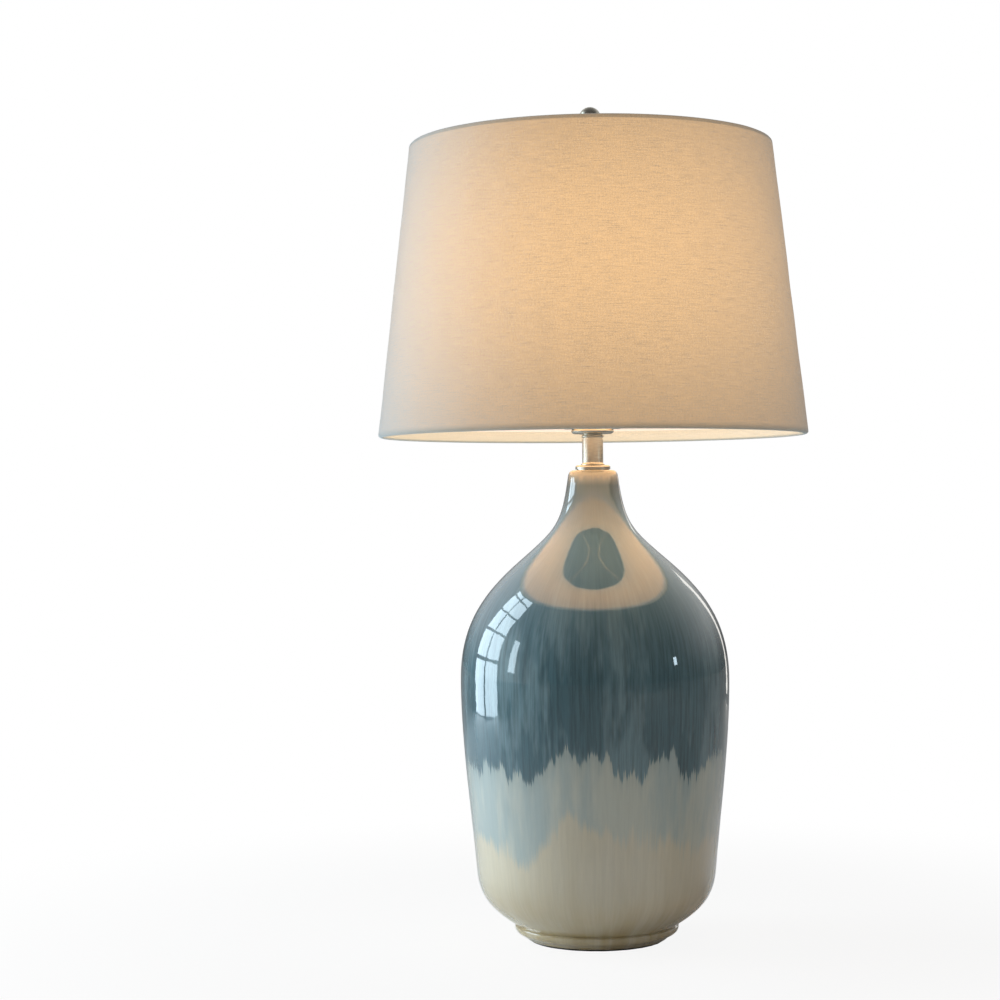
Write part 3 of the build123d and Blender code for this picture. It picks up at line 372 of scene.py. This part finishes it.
def brushed(name, colour, rough, *pieces):
    """Metal with fine rings round it, for some pieces; rough is its mean roughness."""
    metal = Finish(name, metallic=1.0)
    rings = metal.grain(metal.stretch(metal.place, SQUEEZE, SQUEEZE, 1), LATHE_LINES)
    smudge = metal.grain(metal.place, SMUDGES)
    # painted shade: the grooves of the lathe lines are given a darker colour than the ridges
    groove_shade_colour = tuple(GROOVE_SHADE * part for part in colour[:3]) + (1.0,)
    smoothest = rough - (LINE_ROUGH + SMUDGE_ROUGH) / 2
    metal.set(
        base_color=metal.blend(rings.ramp(0.3, 0.7), groove_shade_colour, colour),
        roughness=rings * LINE_ROUGH + smudge * SMUDGE_ROUGH + smoothest,
    )
    metal.raised(rings, LINE_DEPTH, strength=0.4)
    metal.on(*pieces)


brushed(
    "brushed nickel", srgb(226, 221, 206), 0.32,
    "vase_cap", "neck_tube", "neck_collar", "neck_disc", "harp_saddle", "harp_bow", "harp_sleeve_left",
    "harp_sleeve_right", "harp_stud", "socket_cap", "socket_shell", "finial",
)
brushed(
    "zinc plated steel", srgb(186, 186, 182), 0.40,
    "threaded_pipe", "bottom_washer", "bottom_lock_washer", "bottom_hex_nut", "saddle_lock_nut",
    "socket_set_screw", "switch_stem", "bulb_screw_base", "bulb_tip_contact",
)
brushed("plain brass", srgb(205, 166, 92), 0.34, "terminal_screws", "socket_screw_shell", "socket_contact")

# %% [markdown]
# ## Plastics, fibre and white wire
# These are the small hidden fittings.  Each could have one plain colour, but that gives away a model at
# once when the lamp is seen from below, so each gets a little mottling and relief.

# %% Small finishes
MOTTLE_DEPTH = 0.00004
MOTTLE_ROUGH = 0.12


def mottled(name, dark, light, rough, spots, *pieces):
    """Finish with two close colours in spots, so many to a metre, for some pieces."""
    finish = Finish(name)
    speckle = finish.grain(finish.place, spots, detail=3.0)
    finish.set(
        base_color=finish.blend(speckle, dark, light),
        roughness=speckle * MOTTLE_ROUGH + (rough - MOTTLE_ROUGH / 2),
    )
    finish.raised(speckle, MOTTLE_DEPTH, strength=0.5)
    finish.on(*pieces)


mottled("moulded black", srgb(22, 22, 23), srgb(34, 34, 35), 0.42, 900, "switch_knob", "pipe_end_bushing")
mottled(
    "socket moulding", srgb(24, 22, 21), srgb(40, 37, 34), 0.5, 900, "socket_interior", "bulb_tip_insulator",
)
mottled("pressed fibre", srgb(150, 118, 82), srgb(186, 152, 112), 0.8, 500, "socket_insulator")
mottled(
    "white painted wire", srgb(222, 218, 208), srgb(238, 235, 226), 0.38, 260,
    "shade_top_ring", "shade_bottom_ring", "spider_arms", "spider_washer",
)

# %% [markdown]
# ## The lit bulb and the liner
# The lamp is on.  The bulb's dome glows evenly.  Its white housing is no lamp, and the glow on it is
# painted light, most near the dome.  The film inside the shade glows with them: most where it is level
# with the bulb, and less towards the rims.  Tracing that light through film and linen would take many
# samples, so the glow is painted on the pieces as emission, by height.

# %% Glow of the bulb
DOME_STRENGTH = 3.0
HOUSING_STRENGTH = 1.4
HOUSING_FADE = 0.010        # the glow would end this far below the housing
HOUSING_DIM, HOUSING_LIT = srgb(30, 22, 14), srgb(255, 210, 152)

dome = Finish("frosted bulb dome", roughness=0.45, emission_strength=DOME_STRENGTH)
frost = dome.grain(dome.place, 500)
dome.set(
    base_color=dome.blend(frost, srgb(240, 236, 226), srgb(250, 247, 240)),
    emission_color=dome.blend(frost, srgb(255, 214, 160), srgb(255, 222, 174)),
)
dome.on("bulb_dome")

housing_low, housing_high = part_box("bulb_housing")
housing = Finish("bulb housing", roughness=0.35, emission_strength=HOUSING_STRENGTH)
_, _, housing_z = housing.parts(housing.place)
# painted light: the glow of the housing, most near the dome
lit = housing_z.ramp(housing_low.z - HOUSING_FADE, housing_high.z)
dust_and_glow = housing.grain(housing.place, 300, detail=3.0)
housing.set(
    base_color=housing.blend(dust_and_glow, srgb(226, 225, 220), srgb(238, 237, 232)),
    emission_color=housing.blend(lit * 0.9 + dust_and_glow * 0.05, HOUSING_DIM, HOUSING_LIT),
)
housing.on("bulb_housing")

# %% Glow of the liner
LINER_STRENGTH = 1.6
LINER_HOT = srgb(255, 198, 142)
RIM_LOW, RIM_HIGH = 0.012, 0.028    # above the bottom rim, where the dim edge ends
BULB_SPREAD = 0.12                  # height over which the light of the bulb spreads
BULB_SHARE = 0.4                    # how much of the glow falls off with that height

liner = Finish("white styrene liner", roughness=0.6, emission_strength=LINER_STRENGTH)
_, _, liner_z = liner.parts(liner.place)
film = liner.grain(liner.place, 220)
near_bulb = liner_z.bell(BULB_HEIGHT, BULB_SPREAD) * BULB_SHARE + (1 - BULB_SHARE)
hot = (liner_z - SHADE_LOW).ramp(RIM_LOW, RIM_HIGH) * near_bulb
rim_glow = liner.blend(film, srgb(142, 138, 138), srgb(148, 144, 144))
liner.set(
    base_color=liner.blend(film, srgb(196, 192, 182), srgb(208, 205, 196)),
    emission_color=liner.blend(hot, rim_glow, LINER_HOT),
)
liner.on("shade_liner")

# %% [markdown]
# ## The linen cover
# The cover is one strip of linen glued to the liner, rolled over a wire ring at each end and lapped in
# one upright seam at the back.  It could be a cloth simulation, but glued linen hardly moves, so its
# half section is drawn once and turned round the axis.  A little unevenness keeps it from looking like
# sheet metal, and a thickness modifier gives the linen its body.

# %% Half section of the cover
RING_WIRE = (ring_high.z - ring_low.z) / 2
HEM_LAYERS = 0.0009         # film and linen on the wire
HEM_ROLL = RING_WIRE + HEM_LAYERS
HEM_EASE = 0.0006           # a hem is rolled a little deeper than it is high
HEM_DEPTH = 2 * HEM_ROLL + HEM_EASE
HEM_TAIL = 0.007            # linen tucked in behind the hem
TAIL_REACH, TAIL_DEPTH = 2 * HEM_ROLL + HEM_TAIL, 0.0026    # end of the tail
FOLD_REACH, FOLD_DEPTH = 2.1 * HEM_ROLL, 0.0028             # where the roll turns into its tail
FACE_ROWS = 72
ROLL_STEPS = 8

run = SHADE_TOP_RADIUS - SHADE_BOTTOM_RADIUS
rise = SHADE_HIGH - SHADE_LOW
SLANT = hypot(run, rise)
up = Vector((run, rise)) / SLANT
inward = Vector((-up.y, up.x))


def on_cover(along, depth):
    """Radius and height of a point of the section: along the slant, and in from the face."""
    spot = Vector((SHADE_BOTTOM_RADIUS, SHADE_LOW)) + up * along + inward * depth
    return spot.x, spot.y


def hem(end, sign):
    """Section of one rolled hem, from the tail inside to the face outside."""
    middle = end + sign * HEM_ROLL
    points = [(end + sign * TAIL_REACH, TAIL_DEPTH), (end + sign * FOLD_REACH, FOLD_DEPTH)]
    for step in range(ROLL_STEPS + 1):
        turn = pi * step / ROLL_STEPS
        depth = HEM_DEPTH / 2 + HEM_DEPTH / 2 * cos(turn)
        points.append((middle - sign * HEM_ROLL * sin(turn), depth))
    return points


bottom_hem = hem(0, 1)
top_hem = hem(SLANT, -1)
face_length = SLANT - 2 * HEM_ROLL
face = [(HEM_ROLL + face_length * row / FACE_ROWS, 0.0) for row in range(1, FACE_ROWS)]
cover_section = bottom_hem + face + top_hem[::-1]
neighbours = zip(cover_section, cover_section[1:])
hem_to_hem = sum((Vector(first) - Vector(second)).length for first, second in neighbours)
print(len(cover_section), "points,", f"{hem_to_hem:.3f} m of linen from hem to hem")

# %% Turn a section round the axis
def lathe(name, section, turns, shape):
    """Mesh of a section turned round the axis; shape says where each of its points goes."""
    rows, columns = len(section), len(turns)
    points = []
    for turn in turns:
        for first, second in section:
            radius, height = shape(first, second, turn)
            points.append((radius * cos(turn), radius * sin(turn), height))
    faces = []
    for column in range(columns):
        beside = (column + 1) % columns
        for row in range(rows - 1):
            here, there = column * rows + row, beside * rows + row
            faces.append((here, there, there + 1, here + 1))
    mesh = bpy.data.meshes.new(name)
    mesh.from_pydata(points, [], faces)
    mesh.shade_smooth()
    made = bpy.data.objects.new(name, mesh)
    bpy.context.scene.collection.objects.link(made)
    print(name, len(faces), "faces")
    return made


def even_turns(count, start=0.0):
    return [start + tau * column / count for column in range(count)]

# %% Make the cover
LINEN_THICKNESS = 0.00048
COLUMNS = 288
UNEVEN = 0.00035            # how far the linen lies off a perfect cone
UNEVEN_SPOTS = 30           # per metre
SEAM = pi / 2               # direction of the seam, at the back
SEAM_LAP = 0.012
SEAM_STEP = 0.0006
SEAM_EDGE = 0.0012          # turn over which the lapped edge steps down
LAP_TURN = SEAM_LAP / SHADE_BOTTOM_RADIUS
FACE_ONLY = 0.0005          # only the face steps at the seam, not the tails of the hems


def linen_shape(along, depth, turn):
    """Place on the cover, a little uneven, and raised where the seam laps."""
    radius, height = on_cover(along, depth)
    spot = Vector((cos(turn) * radius, sin(turn) * radius, height)) * UNEVEN_SPOTS
    ripple = noise.noise(spot) * UNEVEN
    lapped = 0 <= turn - SEAM <= LAP_TURN and depth < FACE_ONLY
    return radius - UNEVEN + ripple + (SEAM_STEP if lapped else 0), height


lapped_edge = [SEAM + LAP_TURN, SEAM + LAP_TURN + SEAM_EDGE]
cover_turns = sorted(even_turns(COLUMNS, SEAM) + lapped_edge)
cover = lathe("linen_cover", cover_section, cover_turns, linen_shape)
thicken = cover.modifiers.new("linen body", "SOLIDIFY")
thicken.thickness = LINEN_THICKNESS
thicken.offset = 1
print(f"linen {LINEN_THICKNESS * 1000:.2f} mm thick")

# %% [markdown]
# ## Linen that glows
# Linen is a plain weave with slubs, the thicker places in its hand-spun threads.  With the lamp lit, thick
# places hold back light, so slubs show as short dark dashes, mostly along the round, and the doubled
# hems show as two dull bands.  By daylight it is the other way round: the thick places are the paler
# ones.  A picture of cloth could be wrapped round the shade, but close up it would blur.  Here the weave
# is written with sines and stretched noise on the distance round the shade and the height, so that it
# has a real thread size.  A sheen stands for the loose fibres, which catch daylight and hide the glow
# where the cloth is seen edge on.

# %% Threads round and up the shade
THREAD = 0.0011             # from one thread to the next
THREAD_SPOTS = 1000         # per metre, of the noise that makes the threads uneven
WEAVE_LEVEL = 0.78          # taken off, so that the weave lies around a half

linen = Finish(
    "lit linen", roughness=0.85, emission_strength=1.0,
    sheen_weight=1.0, sheen_roughness=0.75, sheen_tint=(0.75, 0.9, 1.0, 1.0),
)
linen_x, linen_y, linen_z = linen.parts(linen.place)
round_metres = linen_y.calc("ARCTAN2", linen_x) * ((SHADE_BOTTOM_RADIUS + SHADE_TOP_RADIUS) / 2)
threads = linen.node("CombineXYZ", inputs={0: round_metres, 1: linen_z, 2: 0.0})
weft = linen.grain(linen.stretch(threads, 0.06, 1, 1), THREAD_SPOTS, roughness=0.6)
warp = linen.grain(linen.stretch(threads, 1, 0.10, 1), THREAD_SPOTS, roughness=0.6)
fuzz = linen.grain(threads, 700, detail=3.0, roughness=0.8)
slubs = linen.grain(linen.stretch(threads, 0.04, 1, 1), 1100, detail=1.0).ramp(0.60, 0.72)
knots = linen.grain(linen.stretch(threads, 0.5, 1, 1), 420, detail=1.0).ramp(0.70, 0.78)
cloudy = linen.grain(threads, 24, detail=3.0)
weave = (round_metres * (tau / THREAD)).sine() * (linen_z * (tau / THREAD)).sine()
thick = slubs * 0.24 + knots * 0.16
open_weave = weft * 0.8 + warp * 0.4 + fuzz * 1.3 + cloudy * 0.08 - thick - WEAVE_LEVEL
print("threads every", THREAD * 1000, "mm")

# %% Hems, rims and the inside
BOTTOM_BAND = (-0.001, 0.0062)      # above the bottom rim, where the dull band fades out
TOP_BAND = 0.0036                   # height of the dull band at the top
BAND_EDGE = 0.0006
TOP_SHARE = 0.7                     # the top band is less dull than the bottom one
BEHIND_FACE = (0.0014, 0.0022)      # depth at which the inside of a hem begins
# painted shade: a dark line in the glow along the bottom rim, inside the hem
RIM_SHADE_BAND = (0.0003, 0.0016)         # above the bottom rim, where the dark line along it fades out
RIM_SHADE_SHARE = 0.6

above_rim = linen_z - SHADE_LOW
bottom_band = 1 - above_rim.ramp(*BOTTOM_BAND)
top_band = (linen_z - (SHADE_HIGH - TOP_BAND)).ramp(-BAND_EDGE, BAND_EDGE)
hems = bottom_band.most(top_band * TOP_SHARE)
face_radius = (SHADE_HIGH - linen_z) * (-run / rise) + SHADE_TOP_RADIUS
linen_radius = (linen_x * linen_x + linen_y * linen_y).root()
inside = (face_radius - linen_radius).ramp(*BEHIND_FACE)
# painted shade along the bottom rim
rim_shade_line = (1 - above_rim.ramp(*RIM_SHADE_BAND)) * RIM_SHADE_SHARE
print("dull bands", BOTTOM_BAND[1] * 1000, "and", TOP_BAND * 1000, "mm high")

# %% Colour and glow of the linen
GLOW_HEIGHT = 0.636         # height of the brightest place
GLOW_SPREAD = 0.20
GLOW_WEAVE, GLOW_LEAST = 0.80, 0.46
HEM_DULL, HEM_SHADE_SHARE = 0.75, 0.6
LINEN_CLOSED, LINEN_OPEN, LINEN_HEM_SHADE = srgb(198, 194, 187), srgb(164, 160, 152), srgb(172, 167, 140)
LINEN_LIT, HEM_LIT, RIM_SHADED_GLOW = srgb(253, 198, 129), srgb(176, 176, 158), srgb(70, 62, 52)
LINEN_DEPTH = 0.00025

through = open_weave * GLOW_WEAVE + GLOW_LEAST
glow = linen_z.bell(GLOW_HEIGHT, GLOW_SPREAD) * through * (1 - hems * HEM_DULL)
cloth = linen.blend(open_weave, LINEN_CLOSED, LINEN_OPEN)
lit_face = linen.blend(glow, BLACK, LINEN_LIT)
lit_inside = linen.blend(rim_shade_line, HEM_LIT, RIM_SHADED_GLOW)
# painted shade: the base colour is darker on the two hem bands, as their glow is dull
linen.set(
    base_color=linen.blend(hems * HEM_SHADE_SHARE, cloth, LINEN_HEM_SHADE),
    emission_color=linen.blend(inside, lit_face, lit_inside),
)
linen.raised(weave * 0.3 + weft + warp * 0.7, LINEN_DEPTH, strength=0.6)
cover.data.materials.append(linen.material)
print(linen.material.name, "on", cover.name)

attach(cover, "shade")
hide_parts("shade_linen_cover")

# %% [markdown]
# ## The felt pad
# A disc of pressed felt is glued under the foot, so that the lamp doesn't scratch the table.  A plain
# cylinder would look turned, so its section has soft edges and its outline waves a little.  Seen from
# below it fills much of the view, so it gets fibres of its own.

# %% Make the felt pad
FELT_SOFT = 0.0006          # height and width of the soft edge
FELT_MIDDLE = 0.0005        # the section starts this far from the axis
FELT_WAVE = 0.0004
FELT_WAVES = 9
FELT_COLUMNS = 180

_, felt_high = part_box("felt_base_pad")
felt_radius, felt_top = felt_high.x, felt_high.z
felt_section = [
    (FELT_MIDDLE, 0.0), (felt_radius - FELT_SOFT, 0.0), (felt_radius, FELT_SOFT),
    (felt_radius, felt_top - FELT_SOFT), (felt_radius - FELT_SOFT, felt_top), (FELT_MIDDLE, felt_top),
]


def felt_shape(radius, height, turn):
    """Felt edge, a little wavy."""
    wave = noise.noise(Vector((cos(turn), sin(turn), 0)) * FELT_WAVES) * FELT_WAVE
    return (radius + wave - FELT_WAVE if radius > FELT_MIDDLE else radius), height


felt = lathe("felt_pad", felt_section, even_turns(FELT_COLUMNS), felt_shape)

FELT_DARK, FELT_LIGHT = srgb(28, 29, 30), srgb(66, 67, 68)
FIBRE_DEPTH = 0.0003

pressed = Finish("pressed felt", roughness=0.95, sheen_weight=0.4)
fibres = pressed.grain(pressed.stretch(pressed.place, 1, 0.25, 1), 1500, detail=4.0, roughness=0.7)
lint = pressed.grain(pressed.stretch(pressed.place, 0.3, 1, 1), 900, detail=3.0, roughness=0.7)
pressed.set(base_color=pressed.blend(fibres * 0.5 + lint * 0.5, FELT_DARK, FELT_LIGHT))
pressed.raised(fibres + lint, FIBRE_DEPTH, strength=0.6)
felt.data.materials.append(pressed.material)
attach(felt, "lamp_base")
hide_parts("felt_base_pad")
print(f"felt {2 * felt_radius:.3f} m across")

# %% [markdown]
# ## The floor and the room
# The photograph has a plain white ground.  The floor is pale and takes the lamp's shadow near it; further
# out it fades into the white of the room, so no horizon shows.  A plain square would do for that, but it
# would hide the underside, so the floor has a hole under the felt and the camera sees through it from
# beneath.  The room is white to the camera.  In reflections it is pale behind the lamp and on the wall
# round the window, and grey on the camera's side, which keeps the dark glaze dark.

# %% Make the floor
FLOOR_RADIUS = 8.0
FLOOR_GAP = 0.0004          # just below the felt, so that the two do not flicker
FLOOR_UNDER = 0.001         # how far it reaches in under the felt's edge
FLOOR_COLUMNS = 96


def flat_shape(radius, height, turn):
    return radius, height


floor_section = [(FLOOR_RADIUS, -FLOOR_GAP), (felt_radius - FLOOR_UNDER, -FLOOR_GAP)]
floor = lathe("floor", floor_section, even_turns(FLOOR_COLUMNS), flat_shape)

# %% White of the floor
FLOOR_WHITE = 0.90          # share of plain white near the lamp; the rest takes its shadow
FADE_NEAR, FADE_FAR = 0.30, 0.85

ground = Finish("pale floor", base_color=srgb(248, 247, 245), roughness=0.7)
ground_x, ground_y, _ = ground.parts(ground.place)
away = (ground_x * ground_x + ground_y * ground_y).root().ramp(FADE_NEAR, FADE_FAR)
seen = ground.node("LightPath", output="Is Camera Ray")
from_below = ground.node("NewGeometry", output="Backfacing") * seen
white_share = (away * (1 - FLOOR_WHITE) + FLOOR_WHITE) * seen
shadowed = Value(ground, ground.shader.outputs["BSDF"])
white = ground.node("Emission", inputs={"Color": WHITE, "Strength": 1.0})
clear = ground.node("BsdfTransparent")
top_side = ground.node("MixShader", inputs={0: white_share, 1: shadowed, 2: white})
both_sides = ground.node("MixShader", inputs={0: from_below, 1: top_side, 2: clear})
ground.feed(ground.tree.nodes["Material Output"].inputs["Surface"], both_sides)
floor.data.materials.append(ground.material)
print("floor white beyond", FADE_FAR, "m")

# %% Make the room
ROOM_FILL = 0.15            # light on the lamp from all round
ROOM_FRONT = 0.095          # what gloss shows of the room on the camera's side
ROOM_BACK = 0.60            # and behind the lamp
ROOM_LEFT = 0.30            # more of it on the pale wall round the window
BACK_SIDE = (-0.35, 0.6)    # how far back, left or up a direction points, from -1 to 1
LEFT_SIDE = (0.75, 0.98)
WALL_FOOT = (-0.05, 0.35)
CEILING = (0.55, 0.95)
CEILING_DIM = 0.75
UNDER_FLOOR = (-0.3, -0.1)  # directions that light the felt for a camera under the floor

room = bpy.data.worlds.new("studio")
bpy.context.scene.world = room
room.use_nodes = True
sky = Graph(room.node_tree)
camera_ray = sky.node("LightPath", output="Is Camera Ray")
glossy_ray = sky.node("LightPath", output="Is Glossy Ray")
through_ray = sky.node("LightPath", output="Is Transmission Ray")
rightward, backward, upward = sky.parts(sky.node("TexCoord", output="Generated"))
wall = upward.ramp(*WALL_FOOT) * (1 - upward.ramp(*CEILING) * CEILING_DIM)
back_wall = backward.ramp(*BACK_SIDE) * wall * (ROOM_BACK - ROOM_FRONT)
left_wall = (rightward * -1).ramp(*LEFT_SIDE) * ROOM_LEFT
mirrored = back_wall + left_wall + ROOM_FRONT
shown = glossy_ray.most(through_ray)
from_under = 1 - upward.ramp(*UNDER_FLOOR)
level = (shown * (mirrored - ROOM_FILL) + ROOM_FILL).most(from_under)
background = sky.tree.nodes["Background"].inputs
sky.feed(background["Strength"], camera_ray * (1 - level) + level)
sky.feed(background["Color"], WHITE)
print("room fill", ROOM_FILL)

# %% [markdown]
# ## Studio light
# Daylight comes from a tall window at the left, slightly behind the lamp: it makes the left of the shade
# cool and white and puts a bright upright streak with bars in it on the glaze.  A plain window beside it
# adds a thin second streak.  The tall window is made of panes, each an area light, because area lights
# are soft by nature: their light comes from all over them.  One lamp could light the rest, but each panel
# here has a task of its own: a low one with a narrow beam reaches the foot, a narrow window behind the
# lamp draws its right edge, a small pane puts a highlight on its right side, and a weak, wide panel at
# the right front lifts the shadow side.

# %% A panel of light
def panel(name, place, aim, size, radiance, colour):
    """Area light whose surface is as bright as a white thing with that much light on it."""
    light = bpy.data.lights.new(name, "AREA")
    light.shape = "RECTANGLE"
    light.size, light.size_y = size
    light.energy = radiance * pi * size[0] * size[1]
    light.color = colour
    made = bpy.data.objects.new(name, light)
    bpy.context.scene.collection.objects.link(made)
    made.location = place
    made.rotation_euler = (Vector(aim) - Vector(place)).to_track_quat("-Z", "Y").to_euler()
    print(f"{name}: {size[0]} by {size[1]} m, {light.energy:.2f} W")
    return made

# %% The window at the left
WINDOW_X = -1.5
WINDOW_LOW = 0.005
WINDOW_NEAR = (0.0, 0.49)   # near edge of each column of panes, along Y
WINDOW_ROWS = 5
PANE_WIDTH, PANE_HEIGHT = 0.44, 0.40
BAR = 0.05
SIDE_Y, SIDE_Z = -0.40, 0.62
SIDE_SIZE = (0.20, 0.60)
DAYLIGHT = (0.70, 0.88, 1.0)
DAYLIGHT_LEVEL = 4.0


def window(name, y, z, size):
    panel(name, (WINDOW_X, y, z), (0, y, z), size, DAYLIGHT_LEVEL, DAYLIGHT)


for column, near in enumerate(WINDOW_NEAR):
    for row in range(WINDOW_ROWS):
        pane_z = WINDOW_LOW + (PANE_HEIGHT + BAR) * row + PANE_HEIGHT / 2
        window(f"pane {column} {row}", near + PANE_WIDTH / 2, pane_z, (PANE_WIDTH, PANE_HEIGHT))
window("side window", SIDE_Y, SIDE_Z, SIDE_SIZE)

# %% The other panels
LOW_BEAM = radians(50)

low = panel(
    "low daylight", place=(-1.1, 0.1, 0.32), aim=(0, 0, 0.08), size=(0.9, 0.4),
    radiance=0.75, colour=(0.9, 0.95, 1.0),
)
low.data.spread = LOW_BEAM
low.visible_glossy = False
panel(
    "right window", place=(1.15, 1.9, 0.62), aim=(0, 0, 0.4), size=(0.22, 1.2),
    radiance=1.2, colour=(1.0, 0.96, 0.9),
)
panel(
    "small pane at the right", place=(1.77, -0.70, 0.57), aim=(0, 0, 0.3), size=(0.13, 0.16),
    radiance=6.0, colour=DAYLIGHT,
)
fill = panel(
    "fill at the right front", place=(1.5, -1.7, 1.3), aim=(0, 0, 0.35), size=(2.4, 2.4),
    radiance=0.29, colour=(1.0, 0.94, 0.86),
)
fill.visible_glossy = False

# %% [markdown]
# ## Linen and felt
# Linen and felt may stand a hair proud of the solids they replace.
